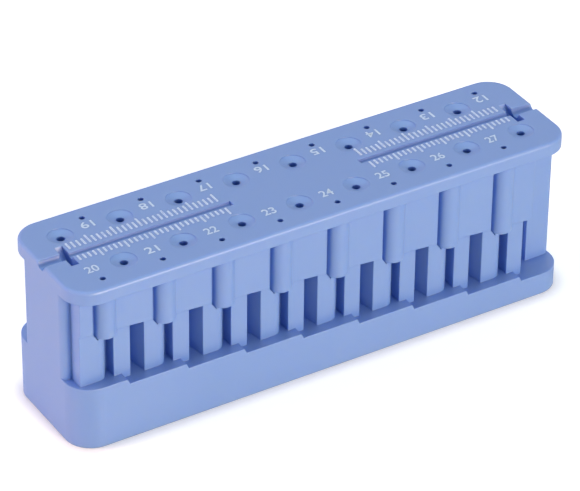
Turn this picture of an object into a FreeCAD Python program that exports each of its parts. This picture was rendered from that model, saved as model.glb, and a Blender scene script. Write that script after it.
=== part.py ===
import FreeCAD, Part
import os
import Sketcher
from FreeCAD import Rotation, Vector

# Endodontic measuring block: one moulding of light blue plastic. Two rows of sixteen
# holes run down to stepped ledges, so that hole N stops a file N mm below the top.
# Frame: origin under the middle of the base, +X along the block, +Z up, and -Y is the
# front side with holes 20 to 27. The rear side holds 12 to 19, turned half round.

os.makedirs("parts", exist_ok=True)
doc = FreeCAD.newDocument("measuring_block")

# Driving sizes in mm. Depths count down from the top face, and "row", "face" and
# "back" values are distances from the long middle plane.
SIZES = {
    "width": 24.4,
    "endMargin": 7.0,
    "cornerRadius": 5.0,
    "edgeRound": 0.6,
    "flange": 2.6,
    "baseThickness": 4.3,
    "spineWidth": 14.0,
    "spineCorner": 1.2,
    "unitPitch": 11.6,
    "frontDepth": 20.0,
    "rearDepth": 12.0,
    "stepDepth": 1.0,
    "rampRun": 0.5,
    "smallRow": 9.0,
    "largeRow": 5.9,
    "pillarFace": 10.0,
    "wallFace": 10.4,
    "latticeInset": 1.7,
    "latticeTail": 0.3,
    "frontWallDrop": 9.99,
    "rearWallDrop": 5.0,
    "wallFall": 0.87,
    "bossRadius": 2.15,
    "bossDrop": 1.1,
    "recessReach": 2.95,
    "recessFace": 9.3,
    "recessFall": 1.9,
    "bigMouth": 1.4,
    "bigThroat": 0.65,
    "slotLeft": 0.35,
    "slotRight": 1.2,
    "slotBack": 7.4,
    "flankRadius": 2.0,
    "smallRadius": 0.55,
    "largeRadius": 0.75,
    "dishRadius": 2.35,
    "dishStep": 0.15,
    "dishDepth": 0.6,
    "stopInset": 5.75,
    "stopWidth": 1.5,
    "stopRadius": 3.35,
    "stopDepth": 2.2,
    "rulerLength": 31.65,
    "rulerRadius": 0.7,
    "rulerDepth": 0.7,
    "exitRadius": 1.15,
    "exitDepth": 1.15,
}

UNITS = 8
OVERRUN = 1.0

sheet = doc.addObject("Spreadsheet::Sheet", "Sizes")
for row, (alias, value) in enumerate(SIZES.items(), start=1):
    sheet.set(f"A{row}", alias)
    sheet.set(f"B{row}", str(value))
    sheet.setAlias(f"B{row}", alias)
doc.recompute()

# Places that follow from the driving sizes, as expressions. Each unit is one small
# hole and the large hole half a pitch after it.
FIRST_SMALL = f"(-Sizes.unitPitch * {(2 * UNITS - 1) / 4})"
HALF_LENGTH = f"(Sizes.unitPitch * {(2 * UNITS - 1) / 4} + Sizes.endMargin)"
TOP = f"(Sizes.frontDepth + {UNITS} * Sizes.stepDepth + Sizes.baseThickness)"
UNDER_FLANGE = f"({TOP} - Sizes.flange)"
OUTSIDE = f"(Sizes.width / 2 + {OVERRUN})"


def smallHoleX(unit):
    return f"({FIRST_SMALL} + {unit} * Sizes.unitPitch)"


def largeHoleX(unit):
    return f"({smallHoleX(unit)} + Sizes.unitPitch / 2)"


def floorZ(depth, steps):
    return f"({TOP} - {depth} - {steps} * Sizes.stepDepth)"


def wallEdgeZ(drop, x):
    return f"({TOP} - {drop} - Sizes.wallFall * ({x} - {FIRST_SMALL}) / Sizes.unitPitch)"


def bind(thing, expressions):
    for path, expression in expressions.items():
        thing.setExpression(path, expression)
    return thing


def place(thing, x, y, z):
    return bind(thing, {"Placement.Base.x": x, "Placement.Base.y": y, "Placement.Base.z": z})


# Each span is a pair of expressions, low and high
def box(name, x, y, z):
    thing = doc.addObject("Part::Box", name)
    bind(thing, {
        "Length": f"{x[1]} - {x[0]}",
        "Width": f"{y[1]} - {y[0]}",
        "Height": f"{z[1]} - {z[0]}",
    })
    return place(thing, x[0], y[0], z[0])


def cylinder(name, x, y, z, radius):
    thing = doc.addObject("Part::Cylinder", name)
    bind(thing, {"Radius": radius, "Height": f"{z[1]} - {z[0]}"})
    return place(thing, x, y, z[0])


# A cylinder along X on the middle plane
def rod(name, x, z, radius):
    thing = doc.addObject("Part::Cylinder", name)
    thing.Placement.Rotation = Rotation(Vector(0, 1, 0), 90)
    bind(thing, {"Radius": radius, "Height": f"{x[1]} - {x[0]}"})
    return place(thing, x[0], "0", z)


def funnel(name, x, y, z, radii):
    thing = doc.addObject("Part::Cone", name)
    bind(thing, {"Radius1": radii[0], "Radius2": radii[1], "Height": f"{z[1]} - {z[0]}"})
    return place(thing, x, y, z[0])


def fuse(name, things):
    thing = doc.addObject("Part::MultiFuse", name)
    thing.Shapes = things
    return thing


def overlap(name, things):
    thing = doc.addObject("Part::MultiCommon", name)
    thing.Shapes = things
    return thing


def cut(name, base, tool):
    thing = doc.addObject("Part::Cut", name)
    thing.Base = base
    thing.Tool = tool
    return thing


def originPlane(body, role):
    return next(plane for plane in body.Origin.OriginFeatures if plane.Role == role)


def newSketch(body, name, role):
    sketch = body.newObject("Sketcher::SketchObject", name)
    sketch.AttachmentSupport = [(originPlane(body, role), "")]
    sketch.MapMode = "FlatFace"
    return sketch


# Ties a line's start point to two expressions, measured from the origin
def pin(sketch, line, x, y):
    for kind, expression in (("DistanceX", x), ("DistanceY", y)):
        start = sketch.Geometry[line].StartPoint
        value = start.x if kind == "DistanceX" else start.y
        index = sketch.addConstraint(Sketcher.Constraint(kind, -1, 1, line, 1, value))
        sketch.setExpression(f"Constraints[{index}]", expression)


# The present value of an expression
def number(expression):
    return float(sheet.evalExpression(expression))


# A prism on the front side: an outline in XZ, from y = -near to y = -far
def profile(name, corners, near, far):
    body = doc.addObject("PartDesign::Body", name)
    sketch = newSketch(body, f"{name}_outline", "XZ_Plane")
    points = [Vector(number(x), number(z), 0) for x, z in corners]
    for start, end in zip(points, points[1:] + points[:1]):
        sketch.addGeometry(Part.LineSegment(start, end))
    for line in range(len(points)):
        following = (line + 1) % len(points)
        sketch.addConstraint(Sketcher.Constraint("Coincident", line, 2, following, 1))
    for line, (x, z) in enumerate(corners):
        pin(sketch, line, x, z)
    sketch.setExpression("AttachmentOffset.Base.z", near)
    pad = body.newObject("PartDesign::Pad", f"{name}_pad")
    pad.Profile = sketch
    pad.setExpression("Length", f"{far} - {near}")
    return body


# Cutter that rounds an upright edge: corner is its x and y, outward its two signs
def roundOver(name, corner, outward, z, radius):
    x, y = corner
    sideX, sideY = outward
    centre = (f"({x} - {sideX} * {radius})", f"({y} - {sideY} * {radius})")
    beyond = (f"({x} + {sideX} * {OVERRUN} / 2)", f"({y} + {sideY} * {OVERRUN} / 2)")
    spanX, spanY = (
        (centre[axis], beyond[axis]) if outward[axis] > 0 else (beyond[axis], centre[axis])
        for axis in (0, 1)
    )
    return cut(name, box(f"{name}_block", spanX, spanY, z),
               cylinder(f"{name}_round", centre[0], centre[1], z, radius))


# Rear pieces are the front ones turned half round about the upright axis
def turned(thing, side):
    if side == "rear":
        thing.Placement.Rotation = Rotation(Vector(0, 0, 1), 180)
    return thing


# Outline block with rounded corners and a softened top edge
def buildBlank():
    body = doc.addObject("PartDesign::Body", "blank")
    sketch = newSketch(body, "blank_outline", "XY_Plane")
    endX = number(HALF_LENGTH)
    sideY = number("Sizes.width / 2")
    radius = number("Sizes.cornerRadius")
    sides = [
        ((-endX + radius, -sideY), (endX - radius, -sideY)),
        ((endX, -sideY + radius), (endX, sideY - radius)),
        ((endX - radius, sideY), (-endX + radius, sideY)),
        ((-endX, sideY - radius), (-endX, -sideY + radius)),
    ]
    for start, end in sides:
        sketch.addGeometry(Part.LineSegment(Vector(*start, 0), Vector(*end, 0)))
    corners = [(1, -1, -90), (1, 1, 0), (-1, 1, 90), (-1, -1, 180)]
    for signX, signY, startAngle in corners:
        middle = Vector(signX * (endX - radius), signY * (sideY - radius), 0)
        circle = Part.Circle(middle, Vector(0, 0, 1), radius)
        angles = [FreeCAD.Units.Quantity(f"{startAngle + turn} deg").getValueAs("rad").Value
                  for turn in (0, 90)]
        sketch.addGeometry(Part.ArcOfCircle(circle, *angles))
    for side in range(4):
        arc = 4 + side
        sketch.addConstraint(Sketcher.Constraint("Tangent", side, 2, arc, 1))
        sketch.addConstraint(Sketcher.Constraint("Tangent", arc, 2, (side + 1) % 4, 1))
    sketch.addConstraint(Sketcher.Constraint("Horizontal", 0))
    sketch.addConstraint(Sketcher.Constraint("Horizontal", 2))
    sketch.addConstraint(Sketcher.Constraint("Vertical", 1))
    sketch.addConstraint(Sketcher.Constraint("Vertical", 3))
    for arc in (5, 6, 7):
        sketch.addConstraint(Sketcher.Constraint("Equal", 4, arc))
    sketch.addConstraint(Sketcher.Constraint("Symmetric", 4, 3, 6, 3, -1, 1))
    sized = [
        (Sketcher.Constraint("DistanceX", 3, 1, 1, 1, 2 * endX), f"2 * {HALF_LENGTH}"),
        (Sketcher.Constraint("DistanceY", 0, 1, 2, 1, 2 * sideY), "Sizes.width"),
        (Sketcher.Constraint("Radius", 4, radius), "Sizes.cornerRadius"),
    ]
    for constraint, expression in sized:
        index = sketch.addConstraint(constraint)
        sketch.setExpression(f"Constraints[{index}]", expression)
    pad = body.newObject("PartDesign::Pad", "blank_pad")
    pad.Profile = sketch
    pad.setExpression("Length", TOP)
    doc.recompute()
    height = number(TOP)
    rim = [f"Edge{index}" for index, edge in enumerate(pad.Shape.Edges, start=1)
           if all(abs(vertex.Z - height) < 0.001 for vertex in edge.Vertexes)]
    softened = body.newObject("PartDesign::Fillet", "blank_rim")
    softened.Base = (pad, rim)
    softened.setExpression("Radius", "Sizes.edgeRound")
    return body


# Stepped ledges: the space between base and flange, as deep as each unit's floor. The
# floor drops one step in the middle of every unit, over a short ramp.
def buildLedge(side, depth):
    left = f"(-{HALF_LENGTH} - {OVERRUN})"
    right = f"({HALF_LENGTH} + {OVERRUN})"
    corners = [(right, UNDER_FLANGE), (left, UNDER_FLANGE), (left, floorZ(depth, 0))]
    for unit in range(UNITS):
        middle = f"({smallHoleX(unit)} + Sizes.unitPitch / 4)"
        corners.append((f"{middle} - Sizes.rampRun / 2", floorZ(depth, unit)))
        corners.append((f"{middle} + Sizes.rampRun / 2", floorZ(depth, unit + 1)))
    corners.append((right, floorZ(depth, UNITS)))
    return turned(profile(f"{side}_ledge", corners, "Sizes.spineWidth / 2", OUTSIDE), side)


# Lattice: the plate that stands on the ledge and carries the pillars, and the upper
# wall in front of it, whose lower edge falls along the row.
LATTICE_X = (f"(-{HALF_LENGTH} + Sizes.latticeInset)",
             f"({largeHoleX(UNITS - 1)} + Sizes.latticeTail)")
INSIDE_SPINE = f"(Sizes.spineWidth / 2 - {OVERRUN})"
INSIDE_FLANGE = f"({TOP} - Sizes.flange / 2)"


def buildPlates(side, drop):
    pillars = box(f"{side}_pillar_plate", LATTICE_X,
                  ("-Sizes.pillarFace", f"-{INSIDE_SPINE}"),
                  ("Sizes.baseThickness / 2", INSIDE_FLANGE))
    left, right = LATTICE_X
    corners = [(right, INSIDE_FLANGE), (left, INSIDE_FLANGE),
               (left, wallEdgeZ(drop, left)), (right, wallEdgeZ(drop, right))]
    wall = profile(f"{side}_upper_wall", corners, INSIDE_SPINE, "Sizes.wallFace")
    return turned(fuse(f"{side}_plates", [pillars, wall]), side)


# Windows: under each small hole a narrow slot beside the round flank of its pillar, and
# under each large one a slot that narrows towards the hole. The last of these keeps a
# straight side at the open end of the row. Left of each boss the upper wall has a
# recess, which runs out over a slope in the pillar below.
def bigWindow(name, unit, floor):
    x = largeHoleX(unit)
    reach = f"(Sizes.wallFace + {OVERRUN})"
    flare = "((Sizes.bigMouth - Sizes.bigThroat) / (Sizes.pillarFace - Sizes.largeRow))"
    mouth = f"(Sizes.bigMouth + {flare} * ({reach} - Sizes.pillarFace))"
    last = unit == UNITS - 1
    thing = doc.addObject("Part::Wedge", name)
    bind(thing, {
        "Xmin": f"-{mouth}",
        "Xmax": mouth,
        "X2min": "-Sizes.bigThroat",
        "X2max": mouth if last else "Sizes.bigThroat",
        "Ymin": f"-{reach}",
        "Ymax": "-Sizes.largeRow",
        "Zmin": floor,
        "Z2min": floor,
        "Zmax": UNDER_FLANGE,
        "Z2max": UNDER_FLANGE,
        "Placement.Base.x": x,
    })
    return thing


def buildWindows(side, depth, drop):
    left = f"(-{HALF_LENGTH} - {OVERRUN})"
    right = f"({HALF_LENGTH} + {OVERRUN})"
    below = f"-{OVERRUN}"
    underWall = profile(f"{side}_under_wall", [
        (right, wallEdgeZ(drop, right)), (left, wallEdgeZ(drop, left)),
        (left, below), (right, below),
    ], "0", OUTSIDE)
    beyondWall = f"(-Sizes.wallFace - {OVERRUN})"
    slots, openings, recesses = [], [], []
    for unit in range(UNITS):
        x = smallHoleX(unit)
        tag = f"{side}_{unit}"
        floor = floorZ(depth, unit)
        bossBottom = f"({wallEdgeZ(drop, x)} - Sizes.bossDrop)"
        slotEdge = f"({x} + Sizes.slotLeft)"
        slots.append(box(f"slot_{tag}", (slotEdge, f"({x} + Sizes.slotRight)"),
                         (beyondWall, "-Sizes.slotBack"), (floor, bossBottom)))
        openings.append(bigWindow(f"window_{tag}", unit, floorZ(depth, unit + 1)))
        openings.append(roundOver(f"flank_{tag}", (slotEdge, "-Sizes.pillarFace"), (1, -1),
                                  (floor, UNDER_FLANGE), "Sizes.flankRadius"))
        recessEdge = f"({x} - Sizes.recessReach)"
        slopeEnd = f"({slotEdge} - Sizes.flankRadius)"
        slopeTop = wallEdgeZ(drop, recessEdge)
        recesses.append(box(f"recess_{tag}", (recessEdge, x),
                            (beyondWall, "-Sizes.recessFace"), (floor, UNDER_FLANGE)))
        slots.append(profile(f"slope_{tag}", [
            (recessEdge, slopeTop), (slopeEnd, f"({slopeTop} - Sizes.recessFall)"),
            (slopeEnd, slopeTop),
        ], "Sizes.recessFace", OUTSIDE))
    lower = overlap(f"{side}_openings", [fuse(f"{side}_openings_full", openings), underWall])
    upper = cut(f"{side}_recesses", fuse(f"{side}_recesses_full", recesses), underWall)
    return turned(fuse(f"{side}_windows", slots + [lower, upper]), side)


# Bosses: round columns about the small holes, from the flange to below the wall edge
def buildBosses(side, drop):
    bosses = []
    for unit in range(UNITS):
        x = smallHoleX(unit)
        bottom = f"({wallEdgeZ(drop, x)} - Sizes.bossDrop)"
        bosses.append(cylinder(f"{side}_boss_{unit}", x, "-Sizes.smallRow",
                               (bottom, INSIDE_FLANGE), "Sizes.bossRadius"))
    return turned(fuse(f"{side}_bosses", bosses), side)


# Holes: the small ones are plain, each large one sits in a shallow round dish. Both end
# level with the ledge, which is what stops the file.
def buildHoles(side, depth):
    above = f"({TOP} + {OVERRUN})"
    tools = []
    for unit in range(UNITS):
        tag = f"{side}_{unit}"
        x, y = smallHoleX(unit), "-Sizes.smallRow"
        tools.append(cylinder(f"small_{tag}", x, y, (floorZ(depth, unit), above),
                              "Sizes.smallRadius"))
        x, y = largeHoleX(unit), "-Sizes.largeRow"
        stepZ = f"({TOP} - Sizes.dishStep)"
        tools.append(cylinder(f"large_{tag}", x, y, (floorZ(depth, unit + 1), above),
                              "Sizes.largeRadius"))
        tools.append(cylinder(f"dish_{tag}", x, y, (stepZ, above), "Sizes.dishRadius"))
        tools.append(funnel(f"funnel_{tag}", x, y, (f"({TOP} - Sizes.dishDepth)", stepZ),
                            ("Sizes.largeRadius", "Sizes.dishRadius")))
    return turned(fuse(f"{side}_holes", tools), side)


# Spine corners: the four upright edges of the end faces between base and flange
def buildCorners(side, depth):
    y = "-Sizes.spineWidth / 2"
    ends = [
        ("left", f"-{HALF_LENGTH}", -1, floorZ(depth, 0)),
        ("right", HALF_LENGTH, 1, floorZ(depth, UNITS)),
    ]
    cutters = [roundOver(f"{side}_corner_{end}", (x, y), (sign, -1), (floor, UNDER_FLANGE),
                         "Sizes.spineCorner")
               for end, x, sign, floor in ends]
    return turned(fuse(f"{side}_corners", cutters), side)


# Rulers: a groove for the file from each end, a slot for its rubber stop at zero, and
# a wider channel for its handle from the stop out through the end face.
def buildRuler(side):
    zero = f"(-{HALF_LENGTH} + Sizes.stopInset)"
    slotEnd = f"({zero} - Sizes.stopWidth)"
    groove = rod(f"{side}_groove", (zero, f"({zero} + Sizes.rulerLength)"),
                 f"({TOP} + Sizes.rulerRadius - Sizes.rulerDepth)", "Sizes.rulerRadius")
    stop = rod(f"{side}_stop_slot", (slotEnd, zero),
               f"({TOP} + Sizes.stopRadius - Sizes.stopDepth)", "Sizes.stopRadius")
    channel = rod(f"{side}_channel", (f"(-{HALF_LENGTH} - {OVERRUN})", slotEnd),
                  f"({TOP} + Sizes.exitRadius - Sizes.exitDepth)", "Sizes.exitRadius")
    return turned(fuse(f"{side}_ruler", [groove, stop, channel]), side)


def cutAndAdd(name, base, sides, removing):
    tool = fuse(f"{name}_parts", sides)
    if removing:
        return cut(name, base, tool)
    return fuse(name, [base, tool])


ROWS = [
    ("front", "Sizes.frontDepth", "Sizes.frontWallDrop"),
    ("rear", "Sizes.rearDepth", "Sizes.rearWallDrop"),
]

block = buildBlank()
ledges = [buildLedge(side, depth) for side, depth, drop in ROWS]
plates = [buildPlates(side, drop) for side, depth, drop in ROWS]
windows = [buildWindows(side, depth, drop) for side, depth, drop in ROWS]
bosses = [buildBosses(side, drop) for side, depth, drop in ROWS]
corners = [buildCorners(side, depth) for side, depth, drop in ROWS]
holes = [buildHoles(side, depth) for side, depth, drop in ROWS]
rulers = [buildRuler(side) for side, depth, drop in ROWS]

block = cutAndAdd("ledged", block, ledges, True)
block = cutAndAdd("plated", block, plates, False)
block = cutAndAdd("windowed", block, windows + corners, True)
block = cutAndAdd("bossed", block, bosses, False)
block = cutAndAdd("measuring_block", block, holes + rulers, True)
block.Refine = True
doc.recompute()

for thing in doc.Objects:
    troubled = [state for state in thing.State if state in ("Invalid", "Error")]
    if troubled:
        raise RuntimeError(f"{thing.Name} is {troubled}")
if block.Shape.isNull() or not block.Shape.isValid():
    raise RuntimeError(f"{block.Label} has no valid shape")
print(block.Label, "solids", len(block.Shape.Solids), "volume", round(block.Shape.Volume, 1),
      "box", [round(value, 3) for value in (block.Shape.BoundBox.XLength,
                                            block.Shape.BoundBox.YLength,
                                            block.Shape.BoundBox.ZLength)])
block.Shape.exportStep(f"parts/{block.Label}.step")
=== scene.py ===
import math

import bpy
from mathutils import Euler, Matrix, Vector


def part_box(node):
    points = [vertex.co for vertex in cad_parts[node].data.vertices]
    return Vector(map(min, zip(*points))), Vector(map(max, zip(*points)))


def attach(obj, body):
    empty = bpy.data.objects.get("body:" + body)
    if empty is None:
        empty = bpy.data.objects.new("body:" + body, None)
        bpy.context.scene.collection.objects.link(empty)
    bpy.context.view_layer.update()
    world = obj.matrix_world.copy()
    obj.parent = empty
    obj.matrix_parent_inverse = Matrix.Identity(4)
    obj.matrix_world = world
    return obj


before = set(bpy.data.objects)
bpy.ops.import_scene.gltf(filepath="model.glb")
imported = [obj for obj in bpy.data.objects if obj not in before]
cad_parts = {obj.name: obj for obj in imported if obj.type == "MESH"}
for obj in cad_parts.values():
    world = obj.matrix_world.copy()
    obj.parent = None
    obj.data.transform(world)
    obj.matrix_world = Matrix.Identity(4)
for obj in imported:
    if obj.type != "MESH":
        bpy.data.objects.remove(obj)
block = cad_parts["measuring_block"]
boxLow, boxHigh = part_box("measuring_block")
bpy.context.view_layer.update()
topZ = boxHigh[2]
print("frame loaded, top face at", round(topZ * 1000, 2), "mm")

mm = 0.001


def clearSelection():
    bpy.ops.object.select_all(action="DESELECT")


def pick(piece):
    clearSelection()
    piece.select_set(True)
    bpy.context.view_layer.objects.active = piece


def bakePlace(piece):
    # the object ends at the origin with its place in its mesh
    pick(piece)
    bpy.ops.object.transform_apply(location=True, rotation=True, scale=True)


def joinPieces(pieces, name):
    clearSelection()
    for piece in pieces:
        piece.select_set(True)
    bpy.context.view_layer.objects.active = pieces[0]
    if len(pieces) > 1:
        bpy.ops.object.join()
    joined = bpy.context.view_layer.objects.active
    joined.name = name
    joined.data.name = name
    return joined


# moulded plastic: light blue all through, satin skin with a faint moulding texture
plastic = {
    "colour": (0.172, 0.312, 0.680, 1),
    "paleColour": (0.182, 0.324, 0.696, 1),
    # painted shade in narrow places and recesses: its colour, reach, mask range and samples
    "paintedShadeColour": (0.085, 0.215, 0.620, 1),
    "paintedShadeReach": 2.2 * mm,
    "paintedShadeRange": (0.3, 0.92),
    "paintedShadeSamples": 8,
    "roughness": (0.36, 0.46),
    "cloudSize": 18 * mm,
    "cloudDetail": 3,
    "grainSize": 0.35 * mm,
    "grainDetail": 2,
    "grainDepth": 0.012 * mm,
    "grainStrength": 0.35,
    "edgeRadius": 0.22 * mm,
    "edgeSamples": 6,
    "refraction": 1.5,
    "gloss": 1.0,
    "scatter": 0.5,
    "scatterDepth": 1.2 * mm,
    "scatterReach": (0.35, 0.55, 1.0),
}


def makePlastic():
    material = bpy.data.materials.new("bluePlastic")
    material.use_nodes = True
    nodes, links = material.node_tree.nodes, material.node_tree.links
    shader = nodes["Principled BSDF"]
    shader.inputs["IOR"].default_value = plastic["refraction"]
    shader.inputs["Specular IOR Level"].default_value = plastic["gloss"]
    shader.inputs["Subsurface Weight"].default_value = plastic["scatter"]
    shader.inputs["Subsurface Radius"].default_value = plastic["scatterReach"]
    shader.inputs["Subsurface Scale"].default_value = plastic["scatterDepth"]
    place = nodes.new("ShaderNodeTexCoord")
    cloud = nodes.new("ShaderNodeTexNoise")
    cloud.inputs["Scale"].default_value = 1 / plastic["cloudSize"]
    cloud.inputs["Detail"].default_value = plastic["cloudDetail"]
    links.new(place.outputs["Object"], cloud.inputs["Vector"])
    tint = nodes.new("ShaderNodeMix")
    tint.data_type = "RGBA"
    tint.inputs["A"].default_value = plastic["colour"]
    tint.inputs["B"].default_value = plastic["paleColour"]
    links.new(cloud.outputs["Fac"], tint.inputs["Factor"])
    # painted shade: an occlusion mask darkens narrow places and recesses to a deeper blue
    paintedShadeOcclusion = nodes.new("ShaderNodeAmbientOcclusion")
    paintedShadeOcclusion.samples = plastic["paintedShadeSamples"]
    paintedShadeOcclusion.only_local = True
    paintedShadeOcclusion.inputs["Distance"].default_value = plastic["paintedShadeReach"]
    paintedShadeMask = nodes.new("ShaderNodeMapRange")
    paintedShadeMask.inputs["From Min"].default_value = plastic["paintedShadeRange"][0]
    paintedShadeMask.inputs["From Max"].default_value = plastic["paintedShadeRange"][1]
    links.new(paintedShadeOcclusion.outputs["AO"], paintedShadeMask.inputs["Value"])
    paintedShadeMix = nodes.new("ShaderNodeMix")
    paintedShadeMix.data_type = "RGBA"
    paintedShadeMix.inputs["A"].default_value = plastic["paintedShadeColour"]
    links.new(paintedShadeMask.outputs["Result"], paintedShadeMix.inputs["Factor"])
    links.new(tint.outputs["Result"], paintedShadeMix.inputs["B"])
    links.new(paintedShadeMix.outputs["Result"], shader.inputs["Base Color"])
    sheen = nodes.new("ShaderNodeMapRange")
    sheen.inputs["To Min"].default_value = plastic["roughness"][0]
    sheen.inputs["To Max"].default_value = plastic["roughness"][1]
    links.new(cloud.outputs["Fac"], sheen.inputs["Value"])
    links.new(sheen.outputs["Result"], shader.inputs["Roughness"])
    grain = nodes.new("ShaderNodeTexNoise")
    grain.inputs["Scale"].default_value = 1 / plastic["grainSize"]
    grain.inputs["Detail"].default_value = plastic["grainDetail"]
    links.new(place.outputs["Object"], grain.inputs["Vector"])
    softEdge = nodes.new("ShaderNodeBevel")
    softEdge.samples = plastic["edgeSamples"]
    softEdge.inputs["Radius"].default_value = plastic["edgeRadius"]
    bump = nodes.new("ShaderNodeBump")
    bump.inputs["Strength"].default_value = plastic["grainStrength"]
    bump.inputs["Distance"].default_value = plastic["grainDepth"]
    links.new(grain.outputs["Fac"], bump.inputs["Height"])
    links.new(softEdge.outputs["Normal"], bump.inputs["Normal"])
    links.new(bump.outputs["Normal"], shader.inputs["Normal"])
    return material


# printed ink: bluish white, a little worn so that the blue shows through in places
ink = {
    "colour": (0.62, 0.77, 0.98, 1),
    "wornColour": (0.42, 0.58, 0.90, 1),
    "wearSize": 0.6 * mm,
    "wearRange": (0.52, 0.75),
    "roughness": 0.5,
    "height": 0.02 * mm,
}


def makeInk():
    material = bpy.data.materials.new("whiteInk")
    material.use_nodes = True
    nodes, links = material.node_tree.nodes, material.node_tree.links
    shader = nodes["Principled BSDF"]
    shader.inputs["Roughness"].default_value = ink["roughness"]
    place = nodes.new("ShaderNodeTexCoord")
    wear = nodes.new("ShaderNodeTexNoise")
    wear.inputs["Scale"].default_value = 1 / ink["wearSize"]
    links.new(place.outputs["Object"], wear.inputs["Vector"])
    fade = nodes.new("ShaderNodeMapRange")
    fade.inputs["From Min"].default_value = ink["wearRange"][0]
    fade.inputs["From Max"].default_value = ink["wearRange"][1]
    links.new(wear.outputs["Fac"], fade.inputs["Value"])
    tint = nodes.new("ShaderNodeMix")
    tint.data_type = "RGBA"
    tint.inputs["A"].default_value = ink["colour"]
    tint.inputs["B"].default_value = ink["wornColour"]
    links.new(fade.outputs["Result"], tint.inputs["Factor"])
    links.new(tint.outputs["Result"], shader.inputs["Base Color"])
    return material


bluePlastic = makePlastic()
whiteInk = makeInk()
for place in block.material_slots:
    place.material = bluePlastic
print("materials made")


# the whole print sits a little off the moulding, as it does in the photograph
printing = {
    "shift": Vector((-0.22 * mm, 0.56 * mm, 0)),
    "middleZ": topZ,
}


# rulers: ticks 1 mm apart on both sides of each groove, every fifth one longer
ticks = {
    "zeroX": 44.75 * mm,
    "step": 1 * mm,
    "longEvery": 5,
    "count": 30,
    "thickness": 0.37 * mm,
    "innerY": 1.0 * mm,
    "shortY": 2.8 * mm,
    "longY": 3.5 * mm,
    "grooveY": 0.88 * mm,
    "cornerRound": 0.1 * mm,
    "cornerSteps": 2,
}


def makeTick(x, nearY, farY):
    middle = (x, (nearY + farY) / 2, printing["middleZ"])
    bpy.ops.mesh.primitive_cube_add(size=1, location=middle)
    tick = bpy.context.active_object
    tick.scale = (ticks["thickness"], abs(farY - nearY), 2 * ink["height"])
    bakePlace(tick)
    bpy.ops.object.mode_set(mode="EDIT")
    bpy.ops.mesh.select_all(action="DESELECT")
    bpy.ops.object.mode_set(mode="OBJECT")
    for edge in tick.data.edges:
        ends = [tick.data.vertices[index].co for index in edge.vertices]
        edge.select = abs(ends[0].z - ends[1].z) > ink["height"]
    bpy.ops.object.mode_set(mode="EDIT")
    bpy.ops.mesh.bevel(offset=ticks["cornerRound"], segments=ticks["cornerSteps"])
    bpy.ops.object.mode_set(mode="OBJECT")
    return tick


def makeTickRow(name, zeroX, direction, side):
    # a group of five, then an array along the ruler
    shift = printing["shift"]
    start = side * ticks["innerY"] + shift.y
    if side < 0:
        start = min(start, -ticks["grooveY"])
    group = []
    for index in range(1, ticks["longEvery"] + 1):
        reach = ticks["longY"] if index == ticks["longEvery"] else ticks["shortY"]
        x = zeroX + direction * index * ticks["step"] + shift.x
        group.append(makeTick(x, start, side * reach + shift.y))
    row = joinPieces(group, name)
    repeat = row.modifiers.new("repeat", "ARRAY")
    repeat.count = ticks["count"] // ticks["longEvery"]
    repeat.use_relative_offset = False
    repeat.use_constant_offset = True
    repeat.constant_offset_displace = (direction * ticks["longEvery"] * ticks["step"], 0, 0)
    pick(row)
    bpy.ops.object.modifier_apply(modifier=repeat.name)
    bakePlace(row)
    return row


def finishPrint(piece):
    piece.data.materials.clear()
    piece.data.materials.append(whiteInk)
    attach(piece, "root")


for end, direction in (("left", 1), ("right", -1)):
    zeroX = -direction * ticks["zeroX"]
    rows = [makeTickRow(f"{end}_ticks_{place}", zeroX, direction, side)
            for place, side in (("back", 1), ("front", -1))]
    finishPrint(joinPieces(rows, f"ruler_ticks_{end}"))
print("ruler ticks made")


# numbers beside the small holes, the rear row turned to be read from behind
numbers = {
    "firstSmallX": 43.5 * mm,
    "pitch": 11.6 * mm,
    "rowY": 6.17 * mm,
    "height": 1.9 * mm,
    "width": 2.45 * mm,
    "weight": 0.012,
    "curveSteps": 4,
    "rows": {"front": (20, 1), "rear": (12, -1)},
    "perRow": 8,
}


def makeNumber(value, x, y, turned):
    bpy.ops.object.text_add(location=(0, 0, 0))
    label = bpy.context.active_object
    label.data.body = str(value)
    label.data.align_x = "CENTER"
    label.data.align_y = "CENTER"
    label.data.size = 1
    label.data.offset = numbers["weight"]
    label.data.extrude = 0.5
    label.data.resolution_u = numbers["curveSteps"]
    pick(label)
    bpy.ops.object.convert(target="MESH")
    label = bpy.context.active_object
    bpy.ops.object.origin_set(type="ORIGIN_GEOMETRY", center="BOUNDS")
    label.location = (0, 0, 0)
    size = label.dimensions
    label.scale = (numbers["width"] / size.x, numbers["height"] / size.y,
                   2 * ink["height"] / size.z)
    label.rotation_euler = Euler((0, 0, math.pi if turned else 0))
    label.location = Vector((x, y, printing["middleZ"])) + printing["shift"]
    bakePlace(label)
    return label


for row, (first, side) in numbers["rows"].items():
    made = []
    for index in range(numbers["perRow"]):
        x = side * (index * numbers["pitch"] - numbers["firstSmallX"])
        made.append(makeNumber(first + index, x, -side * numbers["rowY"], side < 0))
    finishPrint(joinPieces(made, f"hole_numbers_{row}"))
print("numbers made")


# plain white floor, which keeps the block's shadow
floorLook = {
    "size": 4.0,
    "colour": (0.92, 0.92, 0.92, 1),
    "lift": 0.5,
    # painted shadow round the block's base: its reach, where it starts and its lowest lift
    "shadowReach": 3.0 * mm,
    "shadowFrom": 0.5,
    "shadowLift": 0.1,
    "gap": 0.02 * mm,
    "roughness": 0.9,
    "gloss": 0.1,
}


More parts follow.
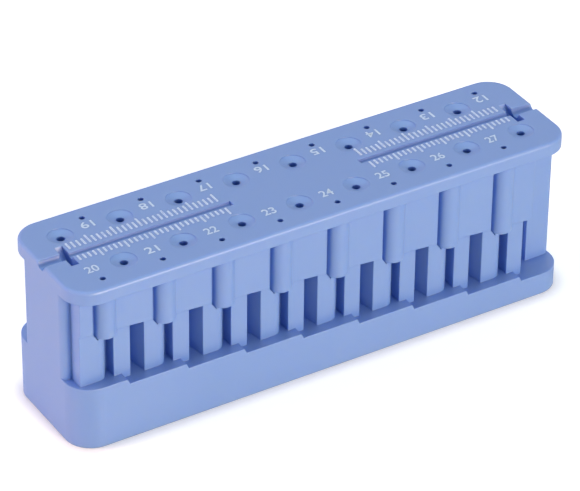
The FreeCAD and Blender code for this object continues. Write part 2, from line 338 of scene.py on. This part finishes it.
def makeFloor():
    floorZ = boxLow[2] - floorLook["gap"]
    bpy.ops.mesh.primitive_plane_add(size=floorLook["size"], location=(0, 0, floorZ))
    floor = bpy.context.active_object
    floor.name = "floor"
    material = bpy.data.materials.new("floorWhite")
    material.use_nodes = True
    nodes, links = material.node_tree.nodes, material.node_tree.links
    shader = nodes["Principled BSDF"]
    shader.inputs["Base Color"].default_value = floorLook["colour"]
    shader.inputs["Roughness"].default_value = floorLook["roughness"]
    shader.inputs["Specular IOR Level"].default_value = floorLook["gloss"]
    # the lift fades towards the block: a painted soft shadow round its base
    paintedShadeOcclusion = nodes.new("ShaderNodeAmbientOcclusion")
    paintedShadeOcclusion.inputs["Distance"].default_value = floorLook["shadowReach"]
    fade = nodes.new("ShaderNodeMapRange")
    fade.inputs["From Min"].default_value = floorLook["shadowFrom"]
    fade.inputs["To Min"].default_value = floorLook["shadowLift"]
    fade.inputs["To Max"].default_value = floorLook["lift"]
    links.new(paintedShadeOcclusion.outputs["AO"], fade.inputs["Value"])
    glow = nodes.new("ShaderNodeEmission")
    links.new(fade.outputs["Result"], glow.inputs["Strength"])
    added = nodes.new("ShaderNodeAddShader")
    seen = nodes.new("ShaderNodeMixShader")
    path = nodes.new("ShaderNodeLightPath")
    links.new(shader.outputs["BSDF"], added.inputs[0])
    links.new(glow.outputs["Emission"], added.inputs[1])
    links.new(path.outputs["Is Camera Ray"], seen.inputs["Fac"])
    links.new(shader.outputs["BSDF"], seen.inputs[1])
    links.new(added.outputs["Shader"], seen.inputs[2])
    # clear from below, so that the floor hides nothing in a view from there
    clear = nodes.new("ShaderNodeBsdfTransparent")
    facing = nodes.new("ShaderNodeNewGeometry")
    oneSided = nodes.new("ShaderNodeMixShader")
    links.new(facing.outputs["Backfacing"], oneSided.inputs["Fac"])
    links.new(seen.outputs["Shader"], oneSided.inputs[1])
    links.new(clear.outputs["BSDF"], oneSided.inputs[2])
    links.new(oneSided.outputs["Shader"], nodes["Material Output"].inputs["Surface"])
    floor.data.materials.append(material)


makeFloor()


# studio light: a low warm lamp in front, another to the left, a weak cool one above
# (shines: whether the lamp shows in reflections)
lamps = {
    "front": {"place": (0.15, -0.95, 0.22), "size": 0.5, "watts": 9.9, "colour": (1, 0.79, 0.60),
              "shines": True},
    "left": {"place": (-0.85, 0.4, 0.2), "size": 0.6, "watts": 11.4, "colour": (1, 0.6, 0.49),
             "shines": False},
    "top": {"place": (0.1, 0.25, 1.0), "size": 1.0, "watts": 4.1, "colour": (0.42, 0.74, 1),
            "shines": True},
}
lampAim = Vector((0, 0, 15 * mm))
ambient = {"light": 0.24, "background": 1.0}


def makeLamp(name, look):
    bpy.ops.object.light_add(type="AREA", location=look["place"])
    lamp = bpy.context.active_object
    lamp.name = f"lamp_{name}"
    lamp.data.shape = "DISK"
    lamp.data.size = look["size"]
    lamp.data.energy = look["watts"]
    lamp.data.color = look["colour"]
    lamp.visible_glossy = look["shines"]
    aim = lampAim - lamp.location
    lamp.rotation_euler = aim.to_track_quat("-Z", "Y").to_euler()


def makeWorld():
    world = bpy.data.worlds.new("studio")
    bpy.context.scene.world = world
    world.use_nodes = True
    nodes, links = world.node_tree.nodes, world.node_tree.links
    light = nodes["Background"]
    light.inputs["Strength"].default_value = ambient["light"]
    light.inputs["Color"].default_value = (1, 1, 1, 1)
    backdrop = nodes.new("ShaderNodeBackground")
    backdrop.inputs["Strength"].default_value = ambient["background"]
    backdrop.inputs["Color"].default_value = (1, 1, 1, 1)
    path = nodes.new("ShaderNodeLightPath")
    direct = nodes.new("ShaderNodeMath")
    direct.operation = "MAXIMUM"
    links.new(path.outputs["Is Camera Ray"], direct.inputs[0])
    links.new(path.outputs["Is Glossy Ray"], direct.inputs[1])
    seen = nodes.new("ShaderNodeMixShader")
    links.new(direct.outputs["Value"], seen.inputs["Fac"])
    links.new(light.outputs["Background"], seen.inputs[1])
    links.new(backdrop.outputs["Background"], seen.inputs[2])
    links.new(seen.outputs["Shader"], nodes["World Output"].inputs["Surface"])


for name, look in lamps.items():
    makeLamp(name, look)
makeWorld()
bpy.context.scene.view_settings.view_transform = "Standard"
print("floor and light made")


# camera where the photograph was taken from
view = {
    "place": (-276.172 * mm, -445.492 * mm, 370.275 * mm),
    "turn": -31.6919,
    "height": 33.8354,
    "roll": 0.6590,
    "lens": 221.44,
    "sensor": 36.0,
    "clip": (0.01, 10),
}


def makeCamera():
    turn, height, roll = (math.radians(view[key]) for key in ("turn", "height", "roll"))
    right = Vector((math.cos(turn), math.sin(turn), 0))
    back = Vector((math.sin(turn) * math.cos(height), -math.cos(turn) * math.cos(height),
                   math.sin(height)))
    up = back.cross(right)
    cameraX = math.cos(roll) * right + math.sin(roll) * up
    cameraY = -math.sin(roll) * right + math.cos(roll) * up
    axes = Matrix((cameraX, cameraY, back)).transposed()
    bpy.ops.object.camera_add(location=view["place"], rotation=axes.to_euler())
    camera = bpy.context.active_object
    camera.data.lens = view["lens"]
    camera.data.sensor_width = view["sensor"]
    camera.data.clip_start = view["clip"][0]
    camera.data.clip_end = view["clip"][1]
    bpy.context.scene.camera = camera


makeCamera()
print("camera made")
